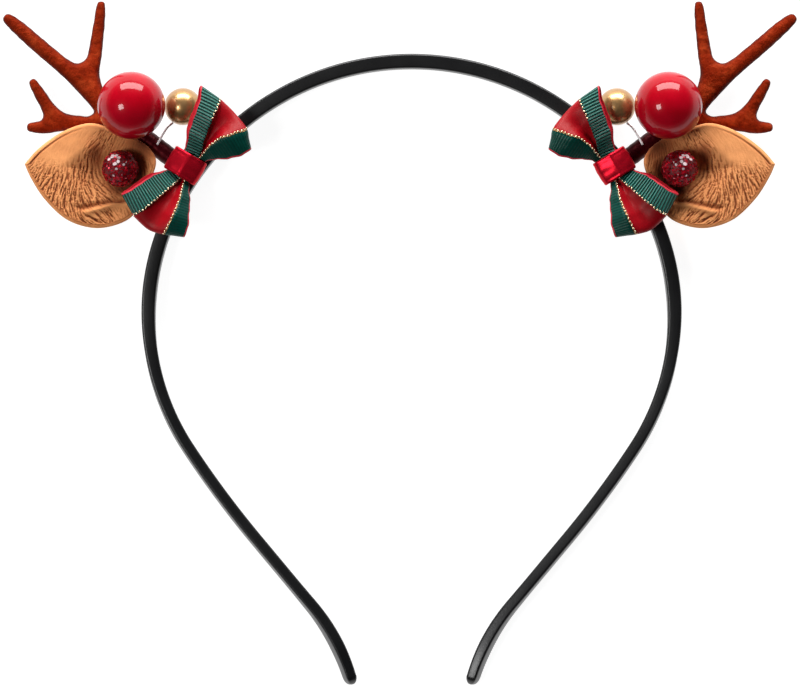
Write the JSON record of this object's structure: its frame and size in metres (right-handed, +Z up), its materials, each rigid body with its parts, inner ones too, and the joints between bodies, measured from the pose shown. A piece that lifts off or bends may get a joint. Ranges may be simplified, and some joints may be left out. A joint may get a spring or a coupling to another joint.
{
  "type": "reindeer antler headband",
  "caption": "Festive headband: a slim black band with mirrored reindeer antlers, cupped plush ears, shiny balls, gold pearls and striped ribbon bows.",
  "frame": {"origin": "middle of the crown's resting face, where the band's centreline crosses its top", "axes": "+X across the headband towards the viewer's right, +Y from the tips past the crown, +Z up from the table towards the side that carries the ornaments"},
  "size_m": [0.1978, 0.1709, 0.0207],
  "materials": {
    "band_black": "semi-matte",
    "antler_brown": "matte",
    "ear_tan": "short plush",
    "lacquer_red": "high gloss",
    "pearl_gold": "pearl lustre",
    "glitter_red": "glitter coated",
    "stem_maroon": "satin wrap",
    "wire_silver": "bright",
    "ribbon_green": "grosgrain",
    "satin_red": "satin"
  },
  "bodies": {
    "root": {"band": "band_black", "antler_left": "antler_brown", "antler_right": "antler_brown", "ear_left": "ear_tan", "ear_right": "ear_tan", "red_ball_left": "lacquer_red", "red_ball_right": "lacquer_red", "pearl_left": "pearl_gold", "pearl_right": "pearl_gold", "glitter_ball_left": "glitter_red", "glitter_ball_right": "glitter_red", "stem_left": "stem_maroon", "stem_right": "stem_maroon", "wire_left": "wire_silver", "wire_right": "wire_silver", "bow_left": "ribbon_green", "bow_right": "ribbon_green", "knot_left": "satin_red", "knot_right": "satin_red"}
  },
  "joints": []
}
